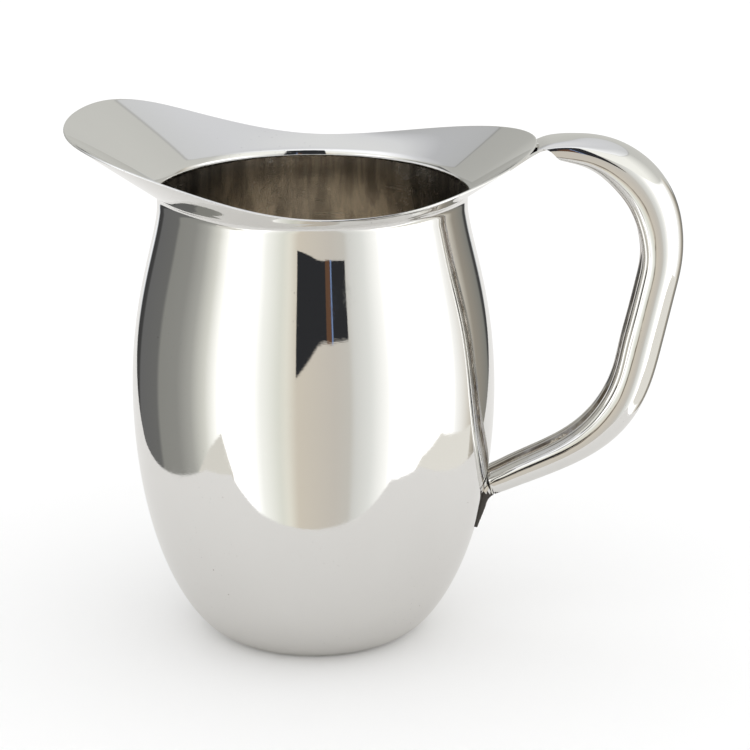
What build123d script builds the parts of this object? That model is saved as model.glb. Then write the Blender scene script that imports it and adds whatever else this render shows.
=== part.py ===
"""Polished steel water pitcher with a saddle-cut pouring lip and a hollow strap handle.

Frame: origin on the body's axis, on the plane it stands on. +Z is up, +X points to the
handle and -X to the spout. The XZ plane is the plane of symmetry. Millimetres.
"""

from build123d import *
from math import cos, radians, sin
import os

# ---- driving dimensions ---------------------------------------------------------------
SHEET = 0.8              # thickness of the drawn body and of the lip
STRIP = 1.2              # thickness of the handle strip
WELD_GAP = 0.4           # daylight between two sheets that spot welds hold together
BUTT_GAP = 0.05          # clearance where the handle's end butts against the body

FOOT_R = 39.0            # flat that the pitcher stands on
BELLY_R = 76.0           # widest radius of the barrel
NECK_R = 64.0            # outer radius of the neck
BODY_TOP_Z = 186.0       # where the drawn body ends
NECK_WELD_H = 1.2        # height of the butt weld that closes the neck
NECK_BEAD = 0.15         # how far that weld stands proud on the inside

FLARE_R = 5.0            # bend between the upright neck and the flared lip
FLARE_Z = 188.9          # where that bend starts
FLARE_ELEVATION = 35.4   # slope of the flared lip above the horizontal, in degrees
OFFSET_STEPS = 24        # spans used to follow a curve at a constant distance
BLANK_R = 106.0          # radius of the lip blank before its rim is cut

HANDLE_W = 21.0          # width of the handle across the hand
HANDLE_CORNER = 2.4      # rounding of the handle's long edges
TONGUE_W = 15.0          # tongue that leaves the handle and runs down the body
TONGUE_TIP_Z = 45.5
TONGUE_TOP_Z = 64.0
SEAM_W = 0.8             # closing weld along the handle's inner face

STRAP_START_X = 80.0     # hidden end of the flat strap under the lip
STRAP_BEND_X = 91.0      # where the strap leaves the lip's slope
NUGGET_R = 1.8           # radius of one spot weld
NUGGET_CLEARANCE = 0.01  # keeps a nugget off the face it is fused to
NUGGET_Y = 4.0           # spot welds sit this far to each side
UPPER_NUGGET_X = 85.5
LOWER_NUGGET_Z = 50.0

# ---- outlines in the plane of symmetry ------------------------------------------------
# Barrel: poles of its one curve from foot to neck, as radius and height.
BARREL = [
    (FOOT_R, 0),
    (58.8, 0),
    (87.3, 70.0),
    (60.7, 65.3),
    (96.5, 122.1),
    (67.2, 150.6),
    (NECK_R, 176.9),
    (NECK_R, BODY_TOP_Z),
]

# Rim: high at the spout, lowest at the sides, rising again to the handle.
RIM = [
    (-BLANK_R, 218.9),
    (-80.0, 216.0),
    (-50.5, 206.4),
    (-17.0, 198.5),
    (8.5, 196.3),
    (38.0, 199.5),
    (67.0, 205.2),
    (BLANK_R, 215.6),
]

# Handle: its outer face, away from the body, then its inner face, where the fingers go.
HANDLE_BACK = [
    (97.5, 212.5),
    (111.2, 213.7),
    (132.0, 208.4),
    (147.6, 193.6),
    (153.6, 172.6),
    (148.4, 138.2),
    (141.6, 106.2),
    (129.2, 85.2),
    (97.8, 67.6),
    (66.0, 56.0),
]
HANDLE_FRONT = [
    (97.5, 206.2),
    (112.0, 202.4),
    (126.6, 192.3),
    (135.9, 170.0),
    (130.6, 133.5),
    (121.8, 100.8),
    (110.0, 87.6),
    (85.0, 74.2),
    (66.0, 64.2),
]
# The tube's upper end is cut on a slant, from the strap down to the front face.
TUBE_END_TOP = (95.0, 214.0)
TUBE_END_FOOT = (104.5, 202.5)

# ---- worked out from the above --------------------------------------------------------
collar_bottom_z = BODY_TOP_Z + NECK_WELD_H
flare_tilt = radians(FLARE_ELEVATION)
flare_turn = radians(90 - FLARE_ELEVATION)
flare_slope = cos(flare_turn) / sin(flare_turn)
flare_end = (
    NECK_R + FLARE_R * (1 - cos(flare_turn)),
    FLARE_Z + FLARE_R * sin(flare_turn),
)
strap_drop = WELD_GAP / cos(flare_tilt)
nugget_depth = WELD_GAP - NUGGET_CLEARANCE


def lip_underside(x):
    """Height of the lip's lower face at a distance x from the axis, on the cone."""
    return flare_end[1] + (x - flare_end[0]) * flare_slope


def beside(curve, gap):
    """Spline at a constant distance from a curve: to its left, or to its right if negative."""
    steps = [step / OFFSET_STEPS for step in range(OFFSET_STEPS + 1)]
    points = [curve @ u + (curve % u).rotate(Axis.Z, 90) * gap for u in steps]
    return Spline(points, tangents=(curve % 0, curve % 1), tangent_scalars=(1, 1))


def grown_barrel(gap):
    """Solid barrel with its outer face moved outwards by gap, to cut or cap parts with."""
    with BuildPart(mode=Mode.PRIVATE) as grown:
        with BuildSketch(Plane.XZ):
            with BuildLine():
                outer = beside(Bezier(BARREL, mode=Mode.PRIVATE), -gap)
                Polyline(outer @ 0, (0, (outer @ 0).Y), (0, (outer @ 1).Y), outer @ 1)
            make_face()
        revolve(axis=Axis.Z)
    return grown.part


def seam_side():
    """Draw the closed band of sheet that the seam runs through, on the handle's front."""
    front = Spline(HANDLE_FRONT)
    within = beside(front, STRIP)
    Line(front @ 0, within @ 0)
    Line(front @ 1, within @ 1)


barrel_for_handle = grown_barrel(BUTT_GAP)
barrel_under_tongue = grown_barrel(WELD_GAP)
barrel_over_tongue = grown_barrel(WELD_GAP + STRIP)
barrel_bare = grown_barrel(NUGGET_CLEARANCE)

# ---- drawn body: barrel and base in one piece -----------------------------------------
with BuildPart() as body_shell:
    with BuildSketch(Plane.XZ):
        with BuildLine():
            outer = Bezier(BARREL)
            inner = beside(outer, SHEET)
            Polyline(outer @ 0, (0, 0), (0, SHEET), inner @ 0)
            Line(outer @ 1, inner @ 1)
        make_face()
    revolve(axis=Axis.Z)

# ---- neck weld: the ring between the body and the lip ---------------------------------
with BuildPart() as neck_weld:
    with BuildSketch(Plane.XZ):
        with BuildLine():
            outside = Line((NECK_R, BODY_TOP_Z), (NECK_R, collar_bottom_z))
            top = Line(outside @ 1, (NECK_R - SHEET, collar_bottom_z))
            bottom = Line(outside @ 0, (NECK_R - SHEET, BODY_TOP_Z))
            bead_middle = (NECK_R - SHEET - NECK_BEAD, BODY_TOP_Z + NECK_WELD_H / 2)
            ThreePointArc(bottom @ 1, bead_middle, top @ 1)
        make_face()
    revolve(axis=Axis.Z)

# ---- lip: a flared collar with its rim cut to a saddle --------------------------------
with BuildPart() as lip_collar:
    with BuildSketch(Plane.XZ):
        with BuildLine():
            upright = Line((NECK_R, collar_bottom_z), (NECK_R, FLARE_Z))
            JernArc(upright @ 1, (0, 1), FLARE_R, FLARE_ELEVATION - 90)
            Line(flare_end, (BLANK_R, lip_underside(BLANK_R)))
            offset(amount=SHEET, side=Side.LEFT)
        make_face()
    revolve(axis=Axis.Z)
    with BuildSketch(Plane.XZ) as below_rim:
        with BuildLine():
            rim_line = Spline(RIM)
            Polyline(rim_line @ 1, (BLANK_R, BODY_TOP_Z), (-BLANK_R, BODY_TOP_Z), rim_line @ 0)
        make_face()
    extrude(amount=BLANK_R, both=True, mode=Mode.INTERSECT)

# ---- tongue: the handle strip's lower end, curved to the body -------------------------
with BuildPart() as tongue:
    with BuildSketch(Plane.YZ):
        with BuildLine():
            tip_centre_z = TONGUE_TIP_Z + TONGUE_W / 2
            left = Line((-TONGUE_W / 2, TONGUE_TOP_Z), (-TONGUE_W / 2, tip_centre_z))
            right = Line((TONGUE_W / 2, TONGUE_TOP_Z), (TONGUE_W / 2, tip_centre_z))
            ThreePointArc(left @ 1, (0, TONGUE_TIP_Z), right @ 1)
            Line(left @ 0, right @ 0)
        make_face()
    extrude(amount=BELLY_R + STRIP)
    add(barrel_over_tongue, mode=Mode.INTERSECT)
    add(barrel_under_tongue, mode=Mode.SUBTRACT)

# ---- handle: one strip folded into a tube, with a flat strap and a tongue -------------
with BuildPart() as handle_core:
    with BuildSketch(Plane.XZ):
        with BuildLine():
            core_back = beside(Spline(HANDLE_BACK, mode=Mode.PRIVATE), -STRIP)
            core_front = beside(Spline(HANDLE_FRONT, mode=Mode.PRIVATE), STRIP)
            Line(core_back @ 0, core_front @ 0)
            Line(core_back @ 1, core_front @ 1)
        make_face()
    extrude(amount=HANDLE_W / 2 - STRIP, both=True)

with BuildPart() as tube_end_cut:
    with BuildSketch(Plane.XZ):
        with BuildLine():
            Polyline(
                TUBE_END_TOP,
                TUBE_END_FOOT,
                (TUBE_END_FOOT[0] - HANDLE_W, TUBE_END_FOOT[1]),
                (TUBE_END_TOP[0] - HANDLE_W, TUBE_END_TOP[1]),
                close=True,
            )
        make_face()
    extrude(amount=HANDLE_W, both=True)

with BuildPart() as handle_shell:
    with BuildSketch(Plane.XZ):
        with BuildLine():
            back = Spline(HANDLE_BACK)
            front = Spline(HANDLE_FRONT)
            Line(back @ 0, front @ 0)
            Line(back @ 1, front @ 1)
        make_face()
    extrude(amount=HANDLE_W / 2, both=True)
    outside_edges = handle_shell.faces().filter_by(Axis.Y).edges()
    fillet(outside_edges.filter_by(lambda edge: edge.length > BELLY_R), HANDLE_CORNER)
    add(handle_core.part, mode=Mode.SUBTRACT)
    # The slit where the strip's two long edges meet.
    with BuildSketch(Plane.XZ):
        with BuildLine():
            seam_side()
        make_face()
    extrude(amount=SEAM_W / 2, both=True, mode=Mode.SUBTRACT)
    add(tube_end_cut.part, mode=Mode.SUBTRACT)
    # Flat strap from the tube's back to its place under the lip.
    with BuildSketch(Plane.XZ):
        with BuildLine():
            under_lip = Line(
                (STRAP_START_X, lip_underside(STRAP_START_X) - strap_drop),
                (STRAP_BEND_X, lip_underside(STRAP_BEND_X) - strap_drop),
            )
            back_face = Spline(HANDLE_BACK, mode=Mode.PRIVATE)
            rise = Spline(
                (under_lip @ 1, HANDLE_BACK[0]),
                tangents=(under_lip % 1, back_face % 0),
                tangent_scalars=(1, 1),
            )
            under_rise = beside(rise, -STRIP)
            slope_normal = (under_lip % 1).rotate(Axis.Z, -90) * STRIP
            Polyline(under_rise @ 0, under_lip @ 0 + slope_normal, under_lip @ 0)
            Line(rise @ 1, under_rise @ 1)
        make_face()
    extrude(amount=HANDLE_W / 2, both=True)
    add(barrel_for_handle, mode=Mode.SUBTRACT)

    # Tongue from the tube's lower end down the body.
    add(tongue.part)

# ---- handle seam: the weld that closes the folded strip -------------------------------
with BuildPart() as handle_seam_weld:
    with BuildSketch(Plane.XZ):
        with BuildLine():
            seam_side()
        make_face()
    extrude(amount=SEAM_W / 2, both=True)
    add(tube_end_cut.part, mode=Mode.SUBTRACT)
    add(barrel_for_handle, mode=Mode.SUBTRACT)

# ---- spot welds: nuggets between the handle's two ends and the vessel -----------------
strap_gap = Plane(
    origin=(UPPER_NUGGET_X, 0, lip_underside(UPPER_NUGGET_X)),
    z_dir=(sin(flare_tilt), 0, -cos(flare_tilt)),
)
with BuildPart() as upper_tab_welds:
    with BuildSketch(strap_gap):
        with GridLocations(0, 2 * NUGGET_Y, 1, 2):
            Circle(NUGGET_R)
    extrude(amount=nugget_depth)

with BuildPart() as lower_tab_welds:
    with BuildSketch(Plane.YZ):
        with Locations((-NUGGET_Y, LOWER_NUGGET_Z), (NUGGET_Y, LOWER_NUGGET_Z)):
            Circle(NUGGET_R)
    extrude(amount=BELLY_R)
    add(barrel_under_tongue, mode=Mode.INTERSECT)
    add(barrel_bare, mode=Mode.SUBTRACT)

# ---- names and files ------------------------------------------------------------------
pieces = {
    "body_shell": body_shell,
    "neck_weld": neck_weld,
    "lip_collar": lip_collar,
    "handle_shell": handle_shell,
    "handle_seam_weld": handle_seam_weld,
    "upper_tab_welds": upper_tab_welds,
    "lower_tab_welds": lower_tab_welds,
}
os.makedirs("parts", exist_ok=True)
for name, piece in pieces.items():
    piece.part.label = name
    export_step(piece.part, f"parts/{name}.step")
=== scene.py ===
"""Steel water pitcher: a spun barrel, a flared collar and a hollow folded handle, with its welds."""

import math

import bmesh
import bpy
import numpy as np
from bpy.props import FloatProperty, FloatVectorProperty, IntProperty, PointerProperty
from bpy.types import Operator, Panel, PropertyGroup
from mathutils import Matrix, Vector
from mathutils.kdtree import KDTree


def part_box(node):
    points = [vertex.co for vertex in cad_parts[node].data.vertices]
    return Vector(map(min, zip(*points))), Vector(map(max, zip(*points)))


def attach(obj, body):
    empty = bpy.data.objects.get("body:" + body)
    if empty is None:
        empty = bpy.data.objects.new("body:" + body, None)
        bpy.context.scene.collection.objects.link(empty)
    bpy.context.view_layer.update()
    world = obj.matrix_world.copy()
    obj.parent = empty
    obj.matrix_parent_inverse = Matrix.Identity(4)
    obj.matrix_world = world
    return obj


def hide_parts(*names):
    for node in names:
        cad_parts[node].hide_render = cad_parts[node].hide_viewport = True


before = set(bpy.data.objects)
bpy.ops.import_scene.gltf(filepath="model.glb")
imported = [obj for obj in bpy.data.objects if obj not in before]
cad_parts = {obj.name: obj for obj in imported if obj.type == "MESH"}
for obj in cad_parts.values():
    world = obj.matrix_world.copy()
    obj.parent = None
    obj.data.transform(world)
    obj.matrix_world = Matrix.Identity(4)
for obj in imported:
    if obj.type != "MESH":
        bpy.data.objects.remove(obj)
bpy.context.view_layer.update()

bl_info = {
    "name": "Water pitcher",
    "version": (1, 0, 0),
    "blender": (4, 5, 0),
    "location": "View3D > Sidebar > Pitcher",
    "description": "Builds the barrel, collar, handle, welds and studio of a steel water pitcher",
    "category": "Object",
}

MM = 0.001

# Half outline of the barrel's outer skin: poles of one smooth curve, radius and height in millimetres.
BARREL_POLES = (
    (39.0, 0.0), (58.8, 0.0), (87.3, 70.0), (60.7, 65.3),
    (96.5, 122.1), (67.2, 150.6), (64.0, 176.9), (64.0, 186.0),
)
# Half of the collar's rim, from the spout's tip round one side to the handle:
# x, distance from the plane of symmetry and height in millimetres.
RIM_LINE = (
    (-101.4, 0.0, 218.2), (-96.8, 29.0, 218.0), (-86.3, 48.6, 216.9), (-73.5, 59.0, 214.0),
    (-50.4, 65.6, 207.1), (-25.2, 69.2, 200.3), (0.0, 70.7, 196.7), (21.0, 70.2, 196.9),
    (42.0, 66.2, 199.4), (58.8, 56.8, 203.0), (73.5, 43.4, 206.6), (84.6, 27.6, 209.4),
    (90.2, 13.6, 210.9), (92.2, 0.0, 211.4),
)
# Centre line of the handle's outer face, from under the collar to the tongue's tip: x and height,
# then how deep the folded tube is there, in millimetres, and how round its section is from 0 to 1.
HANDLE_LINE = (
    (80.0, 202.3, 4.0, 0.0), (84.0, 205.1, 4.0, 0.0), (88.0, 207.8, 4.2, 0.0), (92.0, 210.2, 4.6, 0.0),
    (96.0, 211.9, 6.2, 0.0), (100.2, 212.9, 8.2, 0.1), (112.9, 214.0, 12.8, 0.7), (125.9, 211.3, 16.4, 1.0),
    (137.0, 204.7, 18.4, 1.0), (145.4, 195.5, 19.2, 1.0), (150.8, 184.4, 19.2, 1.0),
    (153.2, 172.3, 18.4, 1.0), (153.1, 159.7, 17.4, 1.0), (150.8, 147.0, 17.1, 1.0),
    (148.1, 134.3, 17.2, 1.0), (145.4, 121.7, 17.4, 1.0),
    (142.4, 109.4, 17.0, 1.0), (137.9, 97.7, 16.7, 0.9), (131.0, 87.2, 16.1, 0.8), (121.6, 78.7, 14.7, 0.7),
    (110.3, 72.2, 13.0, 0.6), (97.9, 67.0, 11.7, 0.45), (85.6, 62.6, 10.2, 0.25), (79.6, 60.6, 9.2, 0.1),
    (76.2, 59.4, 8.2, 0.0), (74.3, 57.9, 6.6, 0.0), (73.1, 55.0, 5.0, 0.0), (71.6, 51.0, 4.0, 0.0),
    (69.6, 45.5, 4.0, 0.0),
)
# Half of the folded tube's section, from the middle of the outer face round to the seam:
# across as a share of the half width, and inwards as a share of the depth.
FLAT_SECTION = (
    (0.00, 0.000), (0.30, 0.006), (0.58, 0.020), (0.83, 0.070), (0.97, 0.220), (1.00, 0.420),
    (1.00, 0.700), (0.93, 0.900), (0.74, 0.990), (0.44, 0.990), (0.16, 0.945), (0.04, 0.920),
)
ROUND_SECTION = (
    (0.00, 0.000), (0.28, 0.025), (0.53, 0.095), (0.75, 0.210), (0.91, 0.350), (0.99, 0.510),
    (0.98, 0.690), (0.87, 0.850), (0.66, 0.965), (0.42, 0.990), (0.18, 0.940), (0.04, 0.885),
)
# The handle's two ends, in millimetres from the axis or above the table.
STRAP_LEAST_Z = 190.0    # the strap and the start of the tube lie above this
FOLD_START_X = 92.5      # the flat strap starts to fold down here
FOLD_END_X = 108.0       # its two edges meet here
ARM_END_X = 100.0        # nearer than this, below ARM_END_Z, the barrel cuts the tube short
ARM_END_Z = 90.0
TONGUE_X = 80.0          # the tongue lies nearer than this and below TONGUE_Z
TONGUE_Z = 63.5
TONGUE_FOLD_Z = 60.5     # the strap narrows to the tongue from here
TONGUE_FOLD_RUN = 6.0
DARK_TONGUE_X = 78.5     # the tongue's sides take painted shade below and inside these, for the gap beside the barrel
DARK_TONGUE_Z = 61.5
BUTT_GAP = 0.05          # clearance between the tube's end and the barrel
STRAP_SHARE = 0.46       # half of the flat strap as a share of the handle's width
TIP_LEAST = 0.03         # least share of the tongue's width left at its tip
HANDLE_STATIONS = 360    # sections along the handle
SECTION_POINTS = 96      # points that each half section is worked out at
OUTER_POINTS = 40        # points of them that the first, outer face takes up
STRIP_POINTS = 40        # points that the strip's half width is drawn with

# The seam's bead in millimetres, and the part of the handle's line where it shows as ticks.
BEAD_RISE = 0.35
BEAD_DEPTH_SHARE = 0.4   # depth below the valley, as a share of the strip's thickness
BEAD_WIDTH_SHARE = 0.75  # half width as a share of the seam's gap
BEAD_POINTS = 16
TICK_RISE = 0.9
TICK_WIDENING = 600.0    # how fast a tick widens as it rises, as a share of the gap per metre
TICKS_FROM = 0.796
TICKS_TO = 0.826
TICK_COUNT = 4
SEAM_END_GAP = 0.4       # the bead ends this far from the barrel


class PitcherSizes(PropertyGroup):
    """Sizes and colours of the pitcher's pieces"""

    sheet: FloatProperty(
        name="Sheet", description="Thickness of the barrel and collar",
        default=0.0008, unit="LENGTH")
    strip: FloatProperty(
        name="Strip", description="Thickness of the handle's folded strip",
        default=0.0012, unit="LENGTH")
    weld_bead: FloatProperty(
        name="Neck bead", description="How far the neck's weld stands proud of the sheet inside",
        default=0.00001, unit="LENGTH")
    flare_radius: FloatProperty(
        name="Flare radius", description="Bend between the neck and the collar's slope",
        default=0.005, unit="LENGTH")
    flare_start: FloatProperty(
        name="Flare start", description="Height where the collar begins to bend outwards",
        default=0.1889, unit="LENGTH")
    flare_slope: FloatProperty(
        name="Flare slope", description="Slope of the collar above the horizontal",
        default=math.radians(35.4), subtype="ANGLE")
    handle_width: FloatProperty(
        name="Handle width", description="Width of the handle from side to side",
        default=0.021, unit="LENGTH")
    tongue_width: FloatProperty(
        name="Tongue width", description="Width of the tongue under the handle",
        default=0.015, unit="LENGTH")
    seam_gap: FloatProperty(
        name="Seam gap", description="Gap between the strip's two edges inside the handle",
        default=0.0008, unit="LENGTH")
    turns: IntProperty(
        name="Turns", description="Steps round the barrel and collar", default=256)
    steel_colour: FloatVectorProperty(
        name="Steel", description="Polished steel", default=(0.80, 0.795, 0.78),
        size=3, subtype="COLOR")
    # The inside's colour is set brighter and warmer than the steel, which paints in light inside the
    # barrel; its satin roughness is real.
    inside_colour: FloatVectorProperty(
        name="Inside steel", description="Unpolished steel inside the barrel",
        default=(0.98, 0.92, 0.83), size=3, subtype="COLOR")
    weld_colour: FloatVectorProperty(
        name="Weld", description="Dull weld metal", default=(0.52, 0.49, 0.45),
        size=3, subtype="COLOR")
    floor_colour: FloatVectorProperty(
        name="Floor", description="Pale studio floor", default=(0.95, 0.95, 0.95),
        size=3, subtype="COLOR")
    table_colour: FloatVectorProperty(
        name="Table", description="Table top as the steel mirrors it", default=(0.80, 0.79, 0.775),
        size=3, subtype="COLOR")


# ---------------------------------------------------------------- curves

def bezier(poles, count):
    """Points along one smooth curve through its poles' hull, in metres."""
    made = []
    for t in np.linspace(0.0, 1.0, count):
        level = np.array(poles, float)
        while len(level) > 1:
            level = level[:-1] * (1 - t) + level[1:] * t
        made.append(level[0])
    return np.array(made) * MM


def natural_spline(rows, count):
    """Points evenly spaced along a smooth line through the rows."""
    rows = np.array(rows, float)
    steps = np.linalg.norm(np.diff(rows[:, :2], axis=0), axis=1)
    at = np.concatenate([[0.0], np.cumsum(steps)])
    last = len(rows) - 1
    system = np.eye(last + 1)
    target = np.zeros_like(rows)
    for i in range(1, last):
        system[i, i - 1:i + 2] = steps[i - 1], 2 * (steps[i - 1] + steps[i]), steps[i]
        target[i] = 6 * ((rows[i + 1] - rows[i]) / steps[i] - (rows[i] - rows[i - 1]) / steps[i - 1])
    bend = np.linalg.solve(system, target)
    made = []
    for t in np.linspace(0.0, at[-1], count):
        i = min(int(np.searchsorted(at, t, side="right")) - 1, last - 1)
        h, a, b = steps[i], (at[i + 1] - t) / steps[i], (t - at[i]) / steps[i]
        curve = ((a ** 3 - a) * bend[i] + (b ** 3 - b) * bend[i + 1]) * h * h / 6
        made.append(a * rows[i] + b * rows[i + 1] + curve)
    return np.array(made)


def normals_of(line):
    """Unit normals on the right-hand side of a line of points."""
    along = np.gradient(line, axis=0)
    along /= np.linalg.norm(along, axis=1)[:, None]
    return np.stack([along[:, 1], -along[:, 0]], axis=1)


SKIN_POINTS = 129
OUTER_SKIN = bezier(BARREL_POLES, SKIN_POINTS)


def skin_radius(height, gap=0.0):
    """Radius of the barrel's outer skin at a height, grown by a gap."""
    grown = OUTER_SKIN + normals_of(OUTER_SKIN) * gap
    return float(np.interp(height, grown[:, 1], grown[:, 0]))


# ---------------------------------------------------------------- mesh helpers

def sizes():
    """The pitcher's sizes and colours, as set in the sidebar."""
    return bpy.context.scene.pitcher_sizes


def line_of(bm, points):
    """A chain of edges through the points."""
    verts = [bm.verts.new(p) for p in points]
    for a, b in zip(verts, verts[1:]):
        bm.edges.new((a, b))
    return verts


def turned(bm, points):
    """The points turned once round the body's axis."""
    line_of(bm, points)
    bmesh.ops.spin(
        bm, geom=bm.verts[:] + bm.edges[:], cent=(0, 0, 0), axis=(0, 0, 1),
        angle=math.tau, steps=sizes().turns, use_merge=True, use_duplicate=False)
    bmesh.ops.remove_doubles(bm, verts=bm.verts[:], dist=1e-7)
    bmesh.ops.dissolve_degenerate(bm, edges=bm.edges[:], dist=1e-8)
    bmesh.ops.recalc_face_normals(bm, faces=bm.faces[:])


def mark_edges(bm, limit):
    """Smooth faces, with folds sharper than the limit kept crisp."""
    for face in bm.faces:
        face.smooth = True
    for edge in bm.edges:
        edge.smooth = not edge.is_manifold or edge.calc_face_angle(0.0) < limit


def piece(bm, name, materials, nodes, fold=math.radians(32)):
    """Makes the finished mesh a piece of the pitcher."""
    mark_edges(bm, fold)
    mesh = bpy.data.meshes.new(name)
    bm.to_mesh(mesh)
    bm.free()
    made = bpy.data.objects.new(name, mesh)
    for material in materials:
        mesh.materials.append(material)
    bpy.context.scene.collection.objects.link(made)
    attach(made, "root")
    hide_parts(*nodes)
    return made


def check_size(made, node, slack=0.0012):
    """Stops if a piece doesn't fill the box of the part that it stands for."""
    low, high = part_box(node)
    corners = [Vector(c) for c in made.bound_box]
    for axis in range(3):
        span = [c[axis] for c in corners]
        if abs(min(span) - low[axis]) > slack or abs(max(span) - high[axis]) > slack:
            raise RuntimeError(
                f"{made.name} spans {min(span)} to {max(span)} on axis {axis}, "
                f"but {node} spans {low[axis]} to {high[axis]}")


# ---------------------------------------------------------------- materials

def group(name, outputs, inputs=()):
    """An empty node group with its sockets and its two end nodes."""
    made = bpy.data.node_groups.new(name, "ShaderNodeTree")
    for label, kind, default in inputs:
        socket = made.interface.new_socket(label, in_out="INPUT", socket_type=kind)
        socket.default_value = default
    for label, kind in outputs:
        made.interface.new_socket(label, in_out="OUTPUT", socket_type=kind)
    return made, made.nodes.new("NodeGroupInput"), made.nodes.new("NodeGroupOutput")


def math_node(tree, operation, a, b=None, c=None, clamp=False):
    """A maths node fed by sockets or numbers; returns its result."""
    node = tree.nodes.new("ShaderNodeMath")
    node.operation = operation
    node.use_clamp = clamp
    for i, value in enumerate((a, b, c)):
        if value is None:
            continue
        if isinstance(value, (int, float)):
            node.inputs[i].default_value = value
        else:
            tree.links.new(value, node.inputs[i])
    return node.outputs[0]


def ramp(tree, source, stops):
    """A colour ramp over a 0 to 1 value; each stop is (place, grey or colour)."""
    node = tree.nodes.new("ShaderNodeValToRGB")
    elements = node.color_ramp.elements
    while len(elements) < len(stops):
        elements.new(0.5)
    for element, (place, value) in zip(elements, stops):
        element.position = place
        colour = value if isinstance(value, tuple) else (value,) * 3
        element.color = (*colour, 1.0)
    tree.links.new(source, node.inputs[0])
    return node.outputs[0]


def noise(tree, vector, scale, detail=3.0, roughness=0.5, distortion=0.0):
    """A soft random value from 0 to 1."""
    node = tree.nodes.new("ShaderNodeTexNoise")
    node.inputs["Scale"].default_value = scale
    node.inputs["Detail"].default_value = detail
    node.inputs["Roughness"].default_value = roughness
    node.inputs["Distortion"].default_value = distortion
    tree.links.new(vector, node.inputs["Vector"])
    return node.outputs["Fac"]


def multiplied(tree, vector, factors):
    """Coordinates or a colour times a factor on each axis; the factors may be a socket."""
    node = tree.nodes.new("ShaderNodeVectorMath")
    node.operation = "MULTIPLY"
    if isinstance(factors, tuple):
        node.inputs[1].default_value = factors
    else:
        tree.links.new(factors, node.inputs[1])
    tree.links.new(vector, node.inputs[0])
    return node.outputs[0]


def joined(tree, x, y, z):
    """Coordinates made of three sockets; None leaves an axis at zero."""
    node = tree.nodes.new("ShaderNodeCombineXYZ")
    for socket, value in zip(node.inputs, (x, y, z)):
        if value is not None:
            tree.links.new(value, socket)
    return node.outputs[0]


def parted(tree, vector):
    """The three axes of some coordinates."""
    node = tree.nodes.new("ShaderNodeSeparateXYZ")
    tree.links.new(vector, node.inputs[0])
    return node.outputs


PLACE = [("Coordinates", "NodeSocketVector", (0, 0, 0))]


def lathe_group():
    """Fine rings left by the polishing lathe: a height for the bump and a mask of the deeper ones."""
    made, ins, outs = group(
        "Lathe lines", [("Height", "NodeSocketFloat"), ("Deep", "NodeSocketFloat")], PLACE)
    x, y, z = parted(made, ins.outputs[0])
    angle = math_node(made, "ARCTAN2", y, x)
    # The lines run far round the body and change fast with height.
    drawn = joined(made, math_node(made, "MULTIPLY", angle, 0.010), None, z)
    fine = noise(made, drawn, scale=2600.0, detail=2.0, roughness=0.6)
    broad = noise(made, multiplied(made, drawn, (0.4, 1.0, 1.0)), scale=420.0, roughness=0.6)
    made.links.new(math_node(made, "MULTIPLY_ADD", broad, 0.6, fine), outs.inputs["Height"])
    made.links.new(ramp(made, broad, [(0.62, 0.0), (0.72, 1.0)]), outs.inputs["Deep"])
    return made


def streak_group():
    """Upright painted reflection streaks round the inside, darker and lighter bands standing in for the
    satin finish's stretched highlights: a mask from dark to light.
    """
    made, ins, outs = group("Painted reflection streaks", [("Mask", "NodeSocketFloat")], PLACE)
    x, y, z = parted(made, ins.outputs[0])
    flat = joined(made, x, y, math_node(made, "MULTIPLY", z, 0.05))
    broad = noise(made, flat, scale=150.0, detail=4.0, roughness=0.62, distortion=0.3)
    streaks = ramp(made, broad, [(0.38, 0.0), (0.48, 0.40), (0.60, 1.0)])
    # The painted streaks fade out towards the base, which keeps one even tone.
    base_tone = 0.6
    rise = ramp(made, z, [(0.004, 0.0), (0.030, 1.0)])
    swing = math_node(made, "SUBTRACT", streaks, base_tone)
    made.links.new(math_node(made, "MULTIPLY_ADD", swing, rise, base_tone), outs.inputs["Mask"])
    return made


def wear_group():
    """Handling marks: hairline scratches, tiny pits, brown specks and soft smears."""
    made, ins, outs = group(
        "Handling marks",
        [("Scratch", "NodeSocketFloat"), ("Pit", "NodeSocketFloat"),
         ("Speck", "NodeSocketFloat"), ("Smear", "NodeSocketFloat")], PLACE)
    place = ins.outputs[0]
    marks = []
    for turn, factors in ((0.5, (1.0, 1.0, 14.0)), (1.9, (1.0, 18.0, 1.0)), (2.7, (16.0, 1.0, 2.0))):
        spin = made.nodes.new("ShaderNodeVectorRotate")
        spin.rotation_type = "AXIS_ANGLE"
        spin.inputs["Axis"].default_value = (0.3, 0.8, 0.5)
        spin.inputs["Angle"].default_value = turn
        made.links.new(place, spin.inputs["Vector"])
        hair = noise(
            made, multiplied(made, spin.outputs[0], factors), scale=62.0, detail=1.0, roughness=0.4)
        marks.append(ramp(made, hair, [(0.497, 0.0), (0.5, 1.0), (0.503, 0.0)]))
    where = ramp(made, noise(made, place, scale=38.0, detail=2.0), [(0.52, 0.0), (0.64, 1.0)])
    both = math_node(made, "MAXIMUM", marks[0], math_node(made, "MAXIMUM", marks[1], marks[2]))
    made.links.new(math_node(made, "MULTIPLY", both, where), outs.inputs["Scratch"])
    for label, scale, near, far in (("Pit", 520.0, 0.05, 0.09), ("Speck", 150.0, 0.025, 0.05)):
        cells = made.nodes.new("ShaderNodeTexVoronoi")
        cells.inputs["Scale"].default_value = scale
        made.links.new(place, cells.inputs["Vector"])
        dot = ramp(made, cells.outputs["Distance"], [(near, 1.0), (far, 0.0)])
        some = ramp(made, noise(made, place, scale=27.0, detail=2.0), [(0.55, 0.0), (0.63, 1.0)])
        made.links.new(math_node(made, "MULTIPLY", dot, some), outs.inputs[label])
    cloud = noise(made, place, scale=16.0, detail=4.0, roughness=0.6, distortion=0.6)
    made.links.new(ramp(made, cloud, [(0.40, 0.0), (0.72, 1.0)]), outs.inputs["Smear"])
    return made


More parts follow.
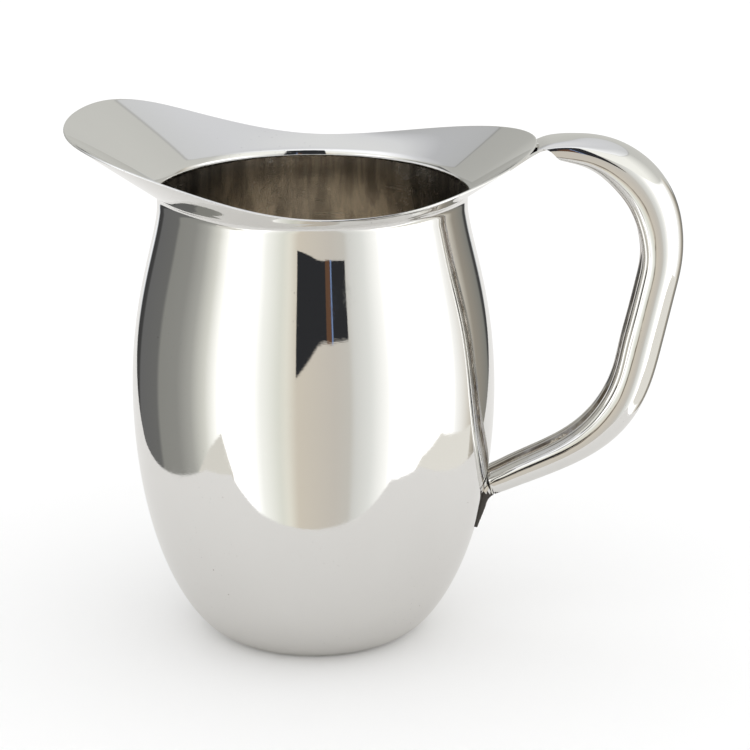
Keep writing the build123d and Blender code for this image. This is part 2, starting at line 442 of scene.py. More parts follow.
def tint_group():
    """Heat colours beside a weld: straw, brown and blue in soft patches."""
    made, ins, outs = group(
        "Heat tint", [("Colour", "NodeSocketColor"), ("Grain", "NodeSocketFloat")], PLACE)
    patch = noise(made, ins.outputs[0], scale=110.0, roughness=0.6)
    colour = ramp(made, patch, [
        (0.32, (0.50, 0.49, 0.48)), (0.46, (0.52, 0.46, 0.36)),
        (0.56, (0.40, 0.31, 0.24)), (0.66, (0.34, 0.36, 0.42)), (0.76, (0.55, 0.54, 0.52))])
    made.links.new(colour, outs.inputs["Colour"])
    made.links.new(
        noise(made, ins.outputs[0], scale=900.0, roughness=0.6), outs.inputs["Grain"])
    return made


def seam_group():
    """Dark brown lines painted round the handle's tube towards its seam, as painted reflection lines and
    painted shade in the seam's slit, with a heat-tint wash beside the seam.
    """
    made, ins, outs = group(
        "Seam lines", [("Line", "NodeSocketFloat"), ("Wash", "NodeSocketFloat")],
        PLACE + [("Nearness", "NodeSocketFloat", 0.0)])
    sway = noise(made, ins.outputs[0], scale=45.0)
    near = math_node(made, "MULTIPLY_ADD", sway, 0.05, ins.outputs[1])
    lines = ramp(made, near, [
        (0.590, 0.0), (0.598, 0.8), (0.606, 0.8), (0.614, 0.0),
        (0.670, 0.0), (0.676, 0.7), (0.682, 0.7), (0.688, 0.0),
        (0.800, 0.0), (0.808, 0.85), (0.822, 0.85), (0.830, 0.0),
        (0.870, 0.0), (0.878, 0.9), (0.900, 0.6), (0.908, 0.1),
        (0.935, 0.0), (0.945, 0.95), (1.0, 0.95)])
    patches = noise(made, ins.outputs[0], scale=75.0, roughness=0.6)
    patchy = ramp(made, patches, [(0.36, 0.35), (0.56, 1.0)])
    made.links.new(math_node(made, "MULTIPLY", lines, patchy), outs.inputs["Line"])
    made.links.new(ramp(made, near, [(0.74, 0.0), (0.82, 0.30), (1.0, 0.45)]), outs.inputs["Wash"])
    return made


def use(tree, shared, *values):
    """Places a shared group in a material and feeds it coordinates and any other values."""
    node = tree.nodes.new("ShaderNodeGroup")
    node.node_tree = bpy.data.node_groups[shared]
    for socket, value in zip(node.inputs, values):
        tree.links.new(value, socket)
    return node.outputs


def blank(name):
    """A material with only its shader, its output and object coordinates."""
    made = bpy.data.materials.new(name)
    made.use_nodes = True
    tree = made.node_tree
    tree.nodes.clear()
    shader = tree.nodes.new("ShaderNodeBsdfPrincipled")
    out = tree.nodes.new("ShaderNodeOutputMaterial")
    tree.links.new(shader.outputs[0], out.inputs["Surface"])
    where = tree.nodes.new("ShaderNodeTexCoord")
    return made, tree, shader, where.outputs["Object"]


def mix_colour(tree, amount, low, high):
    """Mixes two colours, each a socket or a fixed colour."""
    node = tree.nodes.new("ShaderNodeMix")
    node.data_type = "RGBA"
    for socket, value in ((node.inputs[0], amount), (node.inputs[6], low), (node.inputs[7], high)):
        if isinstance(value, (float, int)):
            socket.default_value = value
        elif isinstance(value, tuple):
            socket.default_value = (*value, 1.0)
        else:
            tree.links.new(value, socket)
    return node.outputs[2]


def bump(tree, shader, height, distance):
    """Roughens the surface by a height value times a distance in metres."""
    node = tree.nodes.new("ShaderNodeBump")
    node.inputs["Distance"].default_value = distance
    node.inputs["Strength"].default_value = 1.0
    tree.links.new(height, node.inputs["Height"])
    tree.links.new(node.outputs[0], shader.inputs["Normal"])


def darker(colour, share):
    """A colour times a share of its brightness."""
    return tuple(c * share for c in colour)


STREAK_SHARE = 0.50             # brightness left in the darkest painted reflection streak
# Colour of the painted reflection lines and the painted shade in the seam's slit.
HEAT_AND_SHADE_LINE_COLOUR = (0.10, 0.075, 0.05)
SPECK_COLOUR = (0.16, 0.09, 0.05)
PIT_SHARE = 0.45                # brightness left in a pit
SMEAR_SHARE = 0.7               # brightness left in a full smear
SMEAR_AMOUNT = 0.05
WELD_TINT_AMOUNT = 0.6


def metal(name, colour, smooth, rough, line_depth, lathe=True, streaked=False, seamed=False):
    """Steel with its polish lines, scratches, pits, specks and smears."""
    made, tree, shader, place = blank(name)
    wear = use(tree, "Handling marks", place)
    lines = use(tree, "Lathe lines", place)
    bare = colour
    # Streaked steel gets painted reflection streaks: its colour is darkened in upright bands.
    if streaked:
        streaks = use(tree, "Painted reflection streaks", place)
        bare = mix_colour(tree, streaks["Mask"], darker(colour, STREAK_SHARE), colour)
    if seamed:
        share = tree.nodes.new("ShaderNodeAttribute")
        share.attribute_name = SEAM_LAYER
        seam = use(tree, "Seam lines", place, share.outputs["Fac"])
        tint = use(tree, "Heat tint", place)
        # A heat-tint wash beside the seam, then the painted reflection and shade lines over it.
        washed = mix_colour(tree, seam["Wash"], bare, tint["Colour"])
        bare = mix_colour(tree, seam["Line"], washed, HEAT_AND_SHADE_LINE_COLOUR)
    speckled = mix_colour(tree, wear["Speck"], bare, SPECK_COLOUR)
    pitted = mix_colour(tree, wear["Pit"], speckled, darker(colour, PIT_SHARE))
    faint = math_node(tree, "MULTIPLY", wear["Smear"], SMEAR_AMOUNT)
    shaded = mix_colour(tree, faint, pitted, darker(colour, SMEAR_SHARE))
    tree.links.new(shaded, shader.inputs["Base Color"])
    shader.inputs["Metallic"].default_value = 1.0
    # Each mark adds its share of the step from smooth to rough.
    marked = smooth
    for mark, weight in ((wear["Smear"], 0.5), (wear["Scratch"], 2.0), (lines["Deep"], 1.0)):
        marked = math_node(tree, "MULTIPLY_ADD", mark, (rough - smooth) * weight, marked)
    tree.links.new(marked, shader.inputs["Roughness"])
    # Scratches and pits are cut below the polish lines.
    ground = lines["Height"] if lathe else 0.0
    scratched = math_node(tree, "MULTIPLY_ADD", wear["Scratch"], -0.5, ground)
    total = math_node(tree, "MULTIPLY_ADD", wear["Pit"], -1.5, scratched)
    bump(tree, shader, total, line_depth)
    return made


def weld_metal(name, colour):
    """Dull weld metal with heat colours and a fine grain."""
    made, tree, shader, place = blank(name)
    tint = use(tree, "Heat tint", place)
    wear = use(tree, "Handling marks", place)
    tinted = mix_colour(tree, WELD_TINT_AMOUNT, colour, tint["Colour"])
    tree.links.new(tinted, shader.inputs["Base Color"])
    shader.inputs["Metallic"].default_value = 1.0
    least, swing = 0.28, 0.15
    dulled = math_node(tree, "MULTIPLY_ADD", wear["Smear"], swing, least)
    tree.links.new(dulled, shader.inputs["Roughness"])
    bump(tree, shader, tint["Grain"], distance=0.00008)
    return made


class PITCHER_OT_materials(Operator):
    """Makes the shared surface effects and the pitcher's metals"""

    bl_idname = "pitcher.materials"
    bl_label = "Make the metals"

    def execute(self, context):
        s = sizes()
        lathe_group()
        streak_group()
        wear_group()
        tint_group()
        seam_group()
        steel, weld = tuple(s.steel_colour), tuple(s.weld_colour)
        metal("polished steel", steel, smooth=0.025, rough=0.06, line_depth=3.5e-6)
        metal("polished handle", steel, smooth=0.03, rough=0.08, line_depth=2e-6,
              lathe=False, seamed=True)
        # Inside steel: its bright warm colour paints in light inside the barrel.
        metal("inside steel", tuple(s.inside_colour), smooth=0.19, rough=0.29, line_depth=3e-5,
              streaked=True)
        # Painted shade: near-black metal for the strip's hidden inner side and the tongue's shaded sides.
        metal("painted shade inside", darker(weld, 0.14), smooth=0.30, rough=0.42, line_depth=1e-5,
              lathe=False)
        # The sheet's cut edge: rougher, and painted a little lighter than the steel as a painted highlight
        # along the rim.
        metal("cut edge with painted highlight", darker(steel, 1.05), smooth=0.16, rough=0.26, line_depth=1e-5)
        weld_metal("weld metal", weld)
        return {"FINISHED"}


def metal_named(name):
    """A metal made by the first step."""
    found = bpy.data.materials.get(name)
    if found is None:
        raise RuntimeError(f"make the metals first: {name} is missing")
    return found


# ---------------------------------------------------------------- barrel and collar

class PITCHER_OT_barrel(Operator):
    """Turns the barrel with its flat base and its wall"""

    bl_idname = "pitcher.barrel"
    bl_label = "Build the barrel"

    def execute(self, context):
        s = sizes()
        outer = OUTER_SKIN
        inner = outer - normals_of(outer) * s.sheet
        inner = inner[inner[:, 0] > 0.0][::-1]
        base_radii = (0.0, 0.010, 0.025, 0.036)
        base = [(r, 0.0) for r in base_radii]
        floor = [(r, s.sheet) for r in reversed(base_radii)]
        profile = base + [tuple(p) for p in outer] + [tuple(p) for p in inner] + floor
        bm = bmesh.new()
        turned(bm, [(r, 0.0, z) for r, z in profile])
        half = s.sheet / 2
        for face in bm.faces:
            middle = face.calc_center_median()
            spread = math.hypot(middle.x, middle.y)
            if spread < skin_radius(middle.z, -half) and middle.z > half:
                face.material_index = 1
        made = piece(
            bm, "barrel", [metal_named("polished steel"), metal_named("inside steel")],
            ["body_shell"])
        check_size(made, "body_shell")
        return {"FINISHED"}


UPRIGHT_POINTS = 6    # points up the collar's upright part
BEND_POINTS = 15      # points round its bend
SLOPE_POINTS = 40     # points up its slope
RIM_POINTS = 900      # points along the whole rim
RIM_BEND_SHARE = 0.3  # rounding of the rim's edges, as a share of the sheet
RIM_FOLD = math.radians(40)


def collar_profile(s, low):
    """Outer side of the collar up to the end of its bend."""
    neck = OUTER_SKIN[-1][0]
    turn = math.pi / 2 - s.flare_slope
    points = [(neck, z) for z in np.linspace(low, s.flare_start, UPRIGHT_POINTS)]
    for a in np.linspace(0.0, turn, BEND_POINTS)[1:]:
        points.append((neck + s.flare_radius * (1 - math.cos(a)),
                       s.flare_start + s.flare_radius * math.sin(a)))
    return points


def rim_table():
    """Half of the rim as bearing, reach and height, in order of bearing."""
    half = list(RIM_LINE)
    # Rows mirrored at both ends keep the line smooth where it crosses the plane of symmetry.
    start = [(x, -y, z) for x, y, z in half[4:0:-1]]
    end = [(x, -y, z) for x, y, z in half[-2:-6:-1]]
    line = natural_spline(start + half + end, RIM_POINTS) * MM
    line = line[line[:, 1] > -1e-6]
    bearing = np.arctan2(line[:, 1], line[:, 0])
    order = np.argsort(bearing)
    return bearing[order], np.hypot(line[:, 0], line[:, 1])[order], line[order][:, 2]


class PITCHER_OT_collar(Operator):
    """Turns the flared collar, stretches it to its rim and gives it its thickness"""

    bl_idname = "pitcher.collar"
    bl_label = "Build the collar"

    def execute(self, context):
        s = sizes()
        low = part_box("lip_collar")[0].z
        points = collar_profile(s, low)
        start = points[-1]
        slope = math.tan(s.flare_slope)
        bearing, reach, height = rim_table()
        # The slope is turned one unit wide, then each point is moved out to its share of the reach.
        unit = 0.010
        for share in np.linspace(0.0, 1.0, SLOPE_POINTS)[1:]:
            points.append((start[0] + unit * share, start[1] + unit * share * slope))
        bm = bmesh.new()
        turned(bm, [(r, 0.0, z) for r, z in points])
        for vert in bm.verts:
            spread = math.hypot(vert.co.x, vert.co.y)
            if spread < start[0] + 1e-6:
                continue
            share = (spread - start[0]) / unit
            angle = math.atan2(vert.co.y, vert.co.x)
            run = float(np.interp(abs(angle), bearing, reach)) - start[0]
            lift = float(np.interp(abs(angle), bearing, height)) - start[1] - run * slope
            new = start[0] + run * share
            vert.co = (new * math.cos(angle), new * math.sin(angle),
                       start[1] + run * share * slope + lift * share * share)
        if sum(f.normal.z for f in bm.faces) > 0:
            bmesh.ops.reverse_faces(bm, faces=bm.faces[:])
        bmesh.ops.solidify(bm, geom=bm.faces[:], thickness=s.sheet)
        bmesh.ops.recalc_face_normals(bm, faces=bm.faces[:])
        for face in bm.faces:
            middle = face.calc_center_median()
            across = Vector((middle.x, middle.y, 0.0)).normalized()
            if middle.z < s.flare_start and face.normal.dot(across) < 0.0:
                face.material_index = 1
        # The rim's edge faces take the cut edge metal, with its painted highlight.
        brink = [e for e in bm.edges
                 if e.calc_face_angle(0.0) > RIM_FOLD and e.verts[0].co.z > s.flare_start]
        for face in {f for e in brink for f in e.link_faces}:
            if all(any(v in e.verts for e in brink) for v in face.verts):
                face.material_index = 2
        bmesh.ops.bevel(
            bm, geom=brink, offset=s.sheet * RIM_BEND_SHARE, offset_type="OFFSET", affect="EDGES",
            segments=2, profile=0.5, material=2, clamp_overlap=True)
        made = piece(
            bm, "collar",
            [metal_named("polished steel"), metal_named("inside steel"), metal_named("cut edge with painted highlight")],
            ["lip_collar"])
        check_size(made, "lip_collar", slack=0.003)
        return {"FINISHED"}


# ---------------------------------------------------------------- handle

SEAM_LAYER = "seam_share"


def within_one(value):
    """The value kept between 0 and 1."""
    return min(max(value, 0.0), 1.0)


def half_section(width, depth, roundness):
    """Half of the folded section with its running length: across and inwards, in metres."""
    share = within_one(roundness)
    mixed = np.array(FLAT_SECTION) * (1 - share) + np.array(ROUND_SECTION) * share
    rows = natural_spline(mixed * (width / 2, depth), SECTION_POINTS)
    run = np.concatenate([[0.0], np.cumsum(np.linalg.norm(np.diff(rows, axis=0), axis=1))])
    return rows, run


def handle_line():
    """Stations along the handle in metres, with the inward direction at each."""
    line = natural_spline(HANDLE_LINE, HANDLE_STATIONS)
    line[:, :3] *= MM
    return line, normals_of(line[:, :2])


def cut_at_barrel(rows, run, depths, heights):
    """Running length of the section that stays clear of the barrel."""
    spread = np.hypot(depths, rows[:, 0])
    clear = spread - [skin_radius(h, BUTT_GAP * MM) for h in heights]
    if clear.min() >= 0.0:
        return run[-1]
    last = max(int(np.argmax(clear < 0.0)), 1)
    before = max(clear[last - 1], 0.0)
    share = before / (before - clear[last])
    return run[last - 1] + share * (run[last] - run[last - 1])


def strap_half(s, rows, run, x, z):
    """Half width of the strap at a station, narrowed to the tongue and rounded at its tip."""
    edge = s.handle_width * STRAP_SHARE
    strap = float(np.interp(edge, rows[:OUTER_POINTS, 0], run[:OUTER_POINTS]))
    if z >= TONGUE_Z * MM or x >= TONGUE_X * MM:
        return strap
    half = s.tongue_width / 2
    strap += (half - strap) * within_one((TONGUE_FOLD_Z * MM - z) / (TONGUE_FOLD_RUN * MM))
    tip = (z - HANDLE_LINE[-1][1] * MM) / half
    if tip < 1.0:
        round_share = math.sqrt(max(1.0 - (1.0 - tip) ** 2, 0.0))
        strap *= round_share * (1.0 - TIP_LEAST) + TIP_LEAST
    return strap


def handle_rings(s):
    """Each station's section and how much of it the strip covers there."""
    rings = []
    for (x, z, depth, roundness), inwards in zip(*handle_line()):
        rows, run = half_section(s.handle_width, depth, roundness)
        strap = strap_half(s, rows, run, x, z)
        keep = run[-1]
        if z > STRAP_LEAST_Z * MM and x < FOLD_END_X * MM:
            share = within_one((x - FOLD_START_X * MM) / ((FOLD_END_X - FOLD_START_X) * MM))
            keep = strap + (run[-1] - strap) * share * share * (3 - 2 * share)
        elif z < ARM_END_Z * MM and x < ARM_END_X * MM:
            depths = x + rows[:, 1] * inwards[0]
            heights = z + rows[:, 1] * inwards[1]
            keep = cut_at_barrel(rows, run, depths, heights)
        rings.append((x, z, inwards, rows, run, max(keep, strap)))
    return rings


def ring_points(ring, strip):
    """The closed ring of one station: the strip's outer side, then its inner side back."""
    x, z, inwards, rows, run, keep = ring
    at = np.linspace(0.0, keep, STRIP_POINTS)
    flat = np.stack([np.interp(at, run, rows[:, 0]), np.interp(at, run, rows[:, 1])], axis=1)
    inner = flat - normals_of(flat) * strip
    inner[:, 0] = np.maximum(inner[:, 0], 0.0)
    loop = [(-a, b) for a, b in flat[::-1]] + list(flat[1:])
    loop += list(inner[::-1]) + [(-a, b) for a, b in inner[1:]]
    return [(x + b * inwards[0], a, z + b * inwards[1]) for a, b in loop]


def seam_shares(ring):
    """How far round towards the seam each of the station's points lies; 0 on the inner side."""
    *_, run, keep = ring
    at = np.linspace(0.0, keep, STRIP_POINTS) / run[-1]
    outer = list(at[::-1]) + list(at[1:])
    return outer + [0.0] * len(outer)


def ringed(bm, rings):
    """Joins closed rings of points into one skin with its two ends closed."""
    loops = []
    for points in rings:
        verts = [bm.verts.new(p) for p in points]
        loops.append([bm.edges.new(pair) for pair in zip(verts, verts[1:] + verts[:1])])
    for near, far in zip(loops, loops[1:]):
        bmesh.ops.bridge_loops(bm, edges=near + far)
    for edges in (loops[0], loops[-1]):
        bmesh.ops.contextual_create(bm, geom=edges)
    bmesh.ops.recalc_face_normals(bm, faces=bm.faces[:])


class PITCHER_OT_handle(Operator):
    """Folds the handle's strip along its line: strap, tube and tongue in one piece"""

    bl_idname = "pitcher.handle"
    bl_label = "Build the handle"

    def execute(self, context):
        s = sizes()
        bm = bmesh.new()
        rings = handle_rings(s)
        ringed(bm, [ring_points(ring, s.strip) for ring in rings])
        layer = bm.verts.layers.float.new(SEAM_LAYER)
        for vert, share in zip(bm.verts, [a for ring in rings for a in seam_shares(ring)]):
            vert[layer] = share
        # The strip's inner side, inside the tube, and the tongue's sides by its gap to the barrel take
        # painted shade.
        inside = inner_side(rings, s.strip)
        for face in bm.faces:
            middle = face.calc_center_median()
            on_tongue = middle.z < DARK_TONGUE_Z * MM and middle.x < DARK_TONGUE_X * MM
            faces_sideways = abs(face.normal.y) > 0.5
            if inside(middle) or on_tongue and faces_sideways:
                face.material_index = 1
        made = piece(
            bm, "handle", [metal_named("polished handle"), metal_named("painted shade inside")],
            ["handle_shell"], fold=math.radians(50))
        check_size(made, "handle_shell", slack=0.004)
        return {"FINISHED"}


def inner_side(rings, strip):
    """Tells whether a point lies on the strip's inner side rather than its outer side or edges."""
    made = [ring_points(ring, strip) for ring in rings]
    inner = [i >= len(points) // 2 for points in made for i in range(len(points))]
    tree = KDTree(len(inner))
    for i, point in enumerate(p for points in made for p in points):
        tree.insert(point, i)
    tree.balance()
    nearest = 3
    return lambda place: all(inner[i] for _, i, _ in tree.find_n(place, nearest))


# ---------------------------------------------------------------- welds

class PITCHER_OT_welds(Operator):
    """Lays the neck weld, and gives the small welds their metal"""

    bl_idname = "pitcher.welds"
    bl_label = "Lay the welds"

    def execute(self, context):
        s = sizes()
        low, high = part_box("neck_weld")
        neck = OUTER_SKIN[-1][0]
        wall = neck - s.sheet
        middle = (low.z + high.z) / 2
        tall = (high.z - low.z) / 2
        bm = bmesh.new()
        points = [(neck, 0.0, low.z), (neck, 0.0, middle), (neck, 0.0, high.z), (wall, 0.0, high.z)]
        bead_points = 9
        for a in np.linspace(math.pi / 2, -math.pi / 2, bead_points)[1:-1]:
            points.append((wall - s.weld_bead * math.cos(a), 0.0, middle + tall * math.sin(a)))
        points += [(wall, 0.0, low.z), points[0]]
        turned(bm, points)
        for face in bm.faces:
            across = face.calc_center_median()
            if math.hypot(across.x, across.y) < wall + s.sheet / 4:
                face.material_index = 1
        made = piece(bm, "neck_bead",
                     [metal_named("polished steel"), metal_named("inside steel")],
                     ["neck_weld"])
        check_size(made, "neck_weld")
        self.seam(s)
        for node in ("upper_tab_welds", "lower_tab_welds"):
            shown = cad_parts[node]
            shown.data.materials.clear()
            shown.data.materials.append(metal_named("weld metal"))
        return {"FINISHED"}

    def seam(self, s):
        """The bead along the valley between the strip's two edges."""
        low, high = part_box("handle_seam_weld")
        rings = []
        for i, ((x, z, depth, roundness), inwards) in enumerate(zip(*handle_line())):
            rows, _ = half_section(s.handle_width, depth, roundness)
            deep = rows[-1, 1]
            foot = Vector((x + deep * inwards[0], 0.0, z + deep * inwards[1]))
            beside_barrel = foot.z < OUTER_SKIN[-1][1]
            if beside_barrel and foot.x < skin_radius(foot.z, SEAM_END_GAP * MM):
                continue
            if foot.x < FOLD_END_X * MM and foot.z > STRAP_LEAST_Z * MM:
                continue
            tick = 0.0
            share = i / HANDLE_STATIONS
            if TICKS_FROM < share < TICKS_TO:
                step = (share - TICKS_FROM) / (TICKS_TO - TICKS_FROM) * TICK_COUNT
                tick = TICK_RISE * MM * abs(math.sin(math.pi * step))
            tall = BEAD_RISE * MM + tick
            sunk = s.strip * BEAD_DEPTH_SHARE
            wide = s.seam_gap * (BEAD_WIDTH_SHARE + tick * TICK_WIDENING)
            ring = []
            for a in np.linspace(0.0, math.tau, BEAD_POINTS + 1)[:-1]:
                out = math.cos(a) * (tall if math.cos(a) > 0 else sunk)
                ring.append((
                    foot.x + out * inwards[0], wide * math.sin(a), foot.z + out * inwards[1]))
            rings.append(ring)
        bm = bmesh.new()
        ringed(bm, rings)
        piece(bm, "seam_bead", [metal_named("weld metal")], ["handle_seam_weld"])


# ---------------------------------------------------------------- studio

DOME_RADIUS = 1.5

# Brightness of the curved studio wall by bearing in degrees: 0 is behind the camera,
# negative on the spout's side, positive on the handle's side.
WALL_STOPS = (
    (-180, (1.15, 1.15, 1.17)), (-153, (1.10, 1.12, 1.16)), (-149, (0.05, 0.05, 0.05)),
    (-141, (0.06, 0.06, 0.06)), (-138, (0.15, 0.15, 0.15)), (-113, (0.17, 0.17, 0.165)),
    (-110, (0.29, 0.29, 0.27)), (-92, (0.31, 0.31, 0.29)), (-80, (0.45, 0.45, 0.42)),
    (-69, (0.80, 0.80, 0.74)), (-60, (1.35, 1.35, 1.30)), (-52, (1.85, 1.85, 1.85)),
    (-40, (1.6, 1.6, 1.6)), (-31, (1.12, 1.13, 1.08)), (-20, (0.86, 0.87, 0.79)),
    (-15, (0.92, 0.90, 0.80)), (-9, (0.74, 0.68, 0.58)), (14, (0.66, 0.62, 0.56)),
    (23, (0.66, 0.64, 0.59)), (26, (0.76, 0.76, 0.73)), (36, (0.90, 0.91, 0.88)),
    (47, (1.25, 1.25, 1.22)), (55, (1.85, 1.85, 1.85)), (92, (1.75, 1.75, 1.75)),
    (100, (1.15, 1.15, 1.13)), (115, (0.72, 0.68, 0.60)), (124, (0.35, 0.32, 0.27)),
    (143, (0.24, 0.24, 0.22)), (146, (0.06, 0.06, 0.06)), (151, (0.06, 0.06, 0.06)),
    (155, (1.05, 1.07, 1.08)), (180, (1.15, 1.15, 1.17)),
)
# Brightness of the ceiling by height above the table, as a share of the dome's radius.
CEILING_STOPS = (
    (0.0, (0.62, 0.62, 0.59)), (0.30, (0.68, 0.68, 0.645)), (0.64, (0.66, 0.66, 0.63)),
    (0.65, (0.50, 0.50, 0.49)), (0.66, (0.72, 0.73, 0.74)), (0.85, (0.78, 0.79, 0.82)),
    (1.0, (0.86, 0.87, 0.88)),
)
# Height of the wall's upper edge by bearing, as a share of the dome's radius.
WALL_TOP_STOPS = (
    (-160, 0.02), (-135, 0.10), (-115, 0.40), (115, 0.40), (135, 0.10), (160, 0.02),
)
# The ceiling's bands rise this much per metre towards the handle's side.
CEILING_TILT = 0.19
# How much of the low ceiling's light reaches each bearing: most in front.
CEILING_SHARE = (
    (-180, 0.92), (-168, 0.74), (-130, 0.76), (-98, 1.0), (-62, 1.65),
    (62, 1.65), (98, 1.0), (160, 1.0), (180, 0.92),
)
OVERHEAD_FROM = 0.75      # above this the ceiling turns even, over OVERHEAD_RUN
OVERHEAD_RUN = 0.125
WALL_EDGE_RUN = 1 / 22    # how softly the wall passes into the ceiling
RAMP_SHARE = 0.5          # a ramp holds no value above one, so light is halved and doubled again

# Cards by bearing and height in degrees.
DARK_CARD = (
    (-9.5, 2.5), (-3.0, 6.0), (4.0, 10.0), (7.0, 10.6), (23.0, 10.6), (23.0, 45.0), (-9.5, 45.0))
WOOD_STRIP = ((9.5, 10.4), (12.6, 10.2), (12.6, 45.0), (9.5, 45.0))
BLUE_STRIP = ((12.8, 10.2), (13.6, 10.2), (13.6, 45.0), (12.8, 45.0))
SPOUT_SIDE_CARD = (
    (-79.0, -27.0), (-77.0, -20.5), (-66.0, -15.5), (-57.0, -12.0), (-50.5, -20.0), (-49.0, -27.0))
HANDLE_SIDE_CARD = (
    (60.0, -27.0), (62.0, -22.0), (72.0, -17.5), (86.0, -14.0), (116.0, -14.5), (118.0, -27.0))
# Each card's name, outline, distance in metres and light.
STUDIO_CARDS = (
    ("dark_card", DARK_CARD, 1.30, (0.030, 0.031, 0.034)),
    ("wood_strip", WOOD_STRIP, 1.29, (0.14, 0.075, 0.045)),
    ("blue_strip", BLUE_STRIP, 1.29, (0.22, 0.32, 0.55)),
    ("spout_side_card", SPOUT_SIDE_CARD, 1.20, (0.80, 0.78, 0.72)),
    ("handle_side_card", HANDLE_SIDE_CARD, 1.20, (0.90, 0.88, 0.82)),
)
# Outline of the table's top: x and y in metres.
TABLE_TOP = (
    (-0.185, -0.180), (-0.090, -0.164), (0.090, -0.164), (0.170, -0.176), (0.235, -0.120),
    (0.235, 0.140), (0.420, 0.900), (-0.420, 0.900), (-0.228, 0.140), (-0.228, -0.120))
FLOOR_SIZE = 4.0
FLOOR_BACK = 1.2          # how far the floor's middle lies behind the pitcher
FLOOR_DROP = 0.0002       # the floor lies this far under the pitcher's base
AIR_LIGHT = 1.12          # brightness of the air all round

LENS_MM = 144.0
SENSOR_MM = 36.0
CAMERA_PLACE = (0.02575, -1.1960, 0.5068)
CAMERA_PITCH = math.radians(18.34)


def glowing(name):
    """A material that only gives light; returns it with its node tree and its light."""
    made = bpy.data.materials.new(name)
    made.use_nodes = True
    tree = made.node_tree
    tree.nodes.clear()
    out = tree.nodes.new("ShaderNodeOutputMaterial")
    light = tree.nodes.new("ShaderNodeEmission")
    tree.links.new(light.outputs[0], out.inputs["Surface"])
    return made, tree, light


def bearing_ramp(tree, share, stops, scale=1.0):
    """A ramp over the bearing from -180 to 180 degrees."""
    return ramp(tree, share, [
        ((a + 180) / 360, darker(v, scale) if isinstance(v, tuple) else v * scale)
        for a, v in stops])


def dome_glow(name):
    """The studio's walls and ceiling: bands of light round the wall, and a soft grey ceiling."""
    made, tree, light = glowing(name)
    light.inputs["Strength"].default_value = 1 / RAMP_SHARE
    where = tree.nodes.new("ShaderNodeTexCoord")
    x, y, z = parted(tree, where.outputs["Object"])
    angle = math_node(tree, "ARCTAN2", x, math_node(tree, "MULTIPLY", y, -1.0))
    share = math_node(tree, "MULTIPLY_ADD", angle, 1 / math.tau, 0.5)
    wall = bearing_ramp(tree, share, WALL_STOPS, RAMP_SHARE)
    lift = math_node(tree, "MULTIPLY", z, 1 / DOME_RADIUS)
    tilted = math_node(tree, "MULTIPLY_ADD", x, -CEILING_TILT / DOME_RADIUS, lift)
    ceiling = ramp(tree, tilted, [(a, darker(c, RAMP_SHARE)) for a, c in CEILING_STOPS])
    reach = bearing_ramp(tree, share, CEILING_SHARE, RAMP_SHARE)
    lit = multiplied(tree, multiplied(tree, ceiling, reach), (1 / RAMP_SHARE,) * 3)
    overhead = math_node(
        tree, "MULTIPLY_ADD", lift, 1 / OVERHEAD_RUN, -OVERHEAD_FROM / OVERHEAD_RUN, clamp=True)
    roof = mix_colour(tree, overhead, lit, ceiling)
    above = math_node(tree, "SUBTRACT", lift, bearing_ramp(tree, share, WALL_TOP_STOPS))
    amount = math_node(tree, "MULTIPLY", above, 1 / WALL_EDGE_RUN, clamp=True)
    tree.links.new(mix_colour(tree, amount, wall, roof), light.inputs["Color"])
    return made


def plain_glow(name, colour):
    """An evenly lit or dark card's surface."""
    made, _, light = glowing(name)
    light.inputs["Color"].default_value = (*colour, 1.0)
    light.inputs["Strength"].default_value = 1.0
    return made


def studio_piece(bm, name, material, seen=False, lights=False):
    """A piece of the studio, which isn't part of the pitcher."""
    bmesh.ops.recalc_face_normals(bm, faces=bm.faces[:])
    mesh = bpy.data.meshes.new(name)
    bm.to_mesh(mesh)
    bm.free()
    made = bpy.data.objects.new(name, mesh)
    mesh.materials.append(material)
    bpy.context.scene.collection.objects.link(made)
    made.visible_camera = seen
    made.visible_diffuse = lights
    made.visible_shadow = False
    return made


def pale_paint(name, colour):
    """Matt pale paint with a faint mottle."""
    made, tree, shader, place = blank(name)
    mottle = math_node(tree, "MULTIPLY", noise(tree, place, scale=60.0), 0.04)
    mottled = mix_colour(tree, mottle, tuple(colour), darker(colour, 0.9))
    tree.links.new(mottled, shader.inputs["Base Color"])
    shader.inputs["Roughness"].default_value = 0.9
    shader.inputs["Specular IOR Level"].default_value = 0.1
    return made


def at_bearing(bearing, height, distance):
    """A point of the studio by bearing and height in degrees and distance."""
    a, h = math.radians(bearing), math.radians(height)
    return (distance * math.sin(a) * math.cos(h), -distance * math.cos(a) * math.cos(h),
            distance * math.sin(h))


def flat_card(name, outline, material):
    """A card of the studio with this outline."""
    bm = bmesh.new()
    corners = [bm.verts.new(p) for p in outline]
    bmesh.ops.contextual_create(bm, geom=corners)
    return studio_piece(bm, name, material)


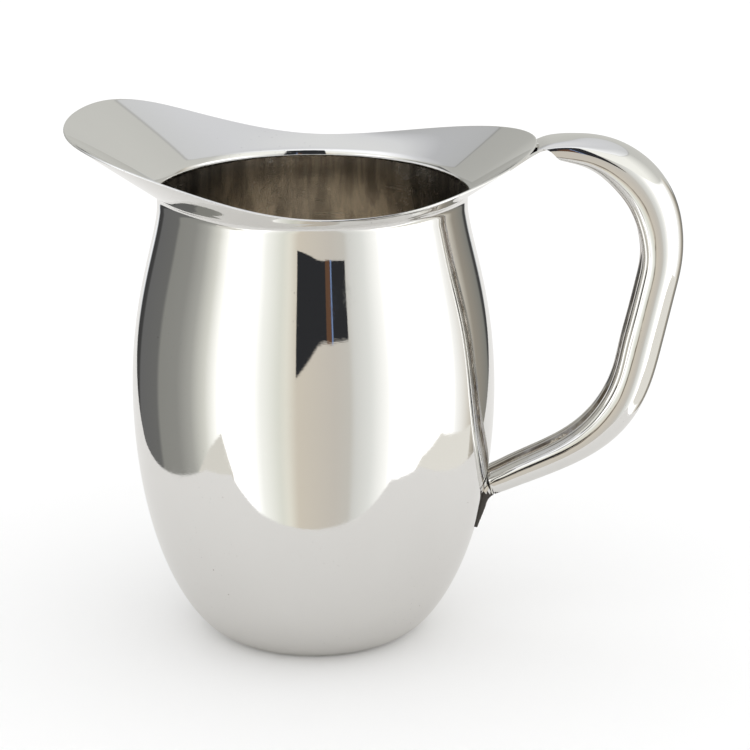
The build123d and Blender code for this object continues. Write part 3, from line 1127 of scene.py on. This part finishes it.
class PITCHER_OT_studio(Operator):
    """Sets the pale floor, the studio wall, the soft lights and the camera"""

    bl_idname = "pitcher.studio"
    bl_label = "Set the studio"

    def execute(self, context):
        s = sizes()
        bm = bmesh.new()
        bmesh.ops.create_grid(bm, x_segments=2, y_segments=2, size=FLOOR_SIZE / 2)
        bmesh.ops.translate(bm, vec=(0.0, FLOOR_BACK, -FLOOR_DROP), verts=bm.verts[:])
        paint = pale_paint("pale floor", s.floor_colour)
        floor = studio_piece(bm, "floor", paint, seen=True, lights=True)
        floor.visible_glossy = False

        bm = bmesh.new()
        bmesh.ops.create_uvsphere(bm, u_segments=96, v_segments=48, radius=DOME_RADIUS)
        studio_piece(bm, "studio_dome", dome_glow("studio dome"))
        top_paint = pale_paint("table top", s.table_colour)
        flat_card("table_top", [(x, y, 0.0) for x, y in TABLE_TOP], top_paint)
        for name, outline, distance, colour in STUDIO_CARDS:
            flat_card(name, [at_bearing(a, h, distance) for a, h in outline],
                      plain_glow(name.replace("_", " "), colour))

        world = bpy.data.worlds.new("studio air")
        world.use_nodes = True
        air = world.node_tree.nodes["Background"]
        air.inputs["Color"].default_value = (1.0, 1.0, 1.0, 1.0)
        air.inputs["Strength"].default_value = AIR_LIGHT
        context.scene.world = world
        context.scene.view_settings.view_transform = "Standard"
        context.scene.view_settings.look = "None"

        lens = bpy.data.cameras.new("camera")
        lens.lens = LENS_MM
        lens.sensor_width = SENSOR_MM
        lens.clip_start, lens.clip_end = 0.05, 20.0
        camera = bpy.data.objects.new("camera", lens)
        camera.location = CAMERA_PLACE
        camera.rotation_euler = (math.pi / 2 - CAMERA_PITCH, 0.0, 0.0)
        context.scene.collection.objects.link(camera)
        context.scene.camera = camera
        return {"FINISHED"}


class PITCHER_PT_panel(Panel):
    """Sizes and steps of the pitcher in the 3D view's sidebar"""

    bl_idname = "PITCHER_PT_panel"
    bl_label = "Water pitcher"
    bl_space_type = "VIEW_3D"
    bl_region_type = "UI"
    bl_category = "Pitcher"

    def draw(self, context):
        s = context.scene.pitcher_sizes
        for name in s.__annotations__:
            self.layout.prop(s, name)
        for step in STEPS:
            self.layout.operator(step.bl_idname)


STEPS = (
    PITCHER_OT_materials, PITCHER_OT_barrel, PITCHER_OT_collar, PITCHER_OT_handle,
    PITCHER_OT_welds, PITCHER_OT_studio,
)
CLASSES = (PitcherSizes, *STEPS, PITCHER_PT_panel)


def register():
    """Adds the pitcher's sizes, steps and panel."""
    for made in CLASSES:
        bpy.utils.register_class(made)
    bpy.types.Scene.pitcher_sizes = PointerProperty(type=PitcherSizes)


def unregister():
    """Takes them away again."""
    del bpy.types.Scene.pitcher_sizes
    for made in reversed(CLASSES):
        bpy.utils.unregister_class(made)


def main():
    """Builds the pitcher and its studio."""
    register()
    bpy.ops.pitcher.materials()
    bpy.ops.pitcher.barrel()
    bpy.ops.pitcher.collar()
    bpy.ops.pitcher.handle()
    bpy.ops.pitcher.welds()
    bpy.ops.pitcher.studio()


if __name__ == "__main__":
    main()
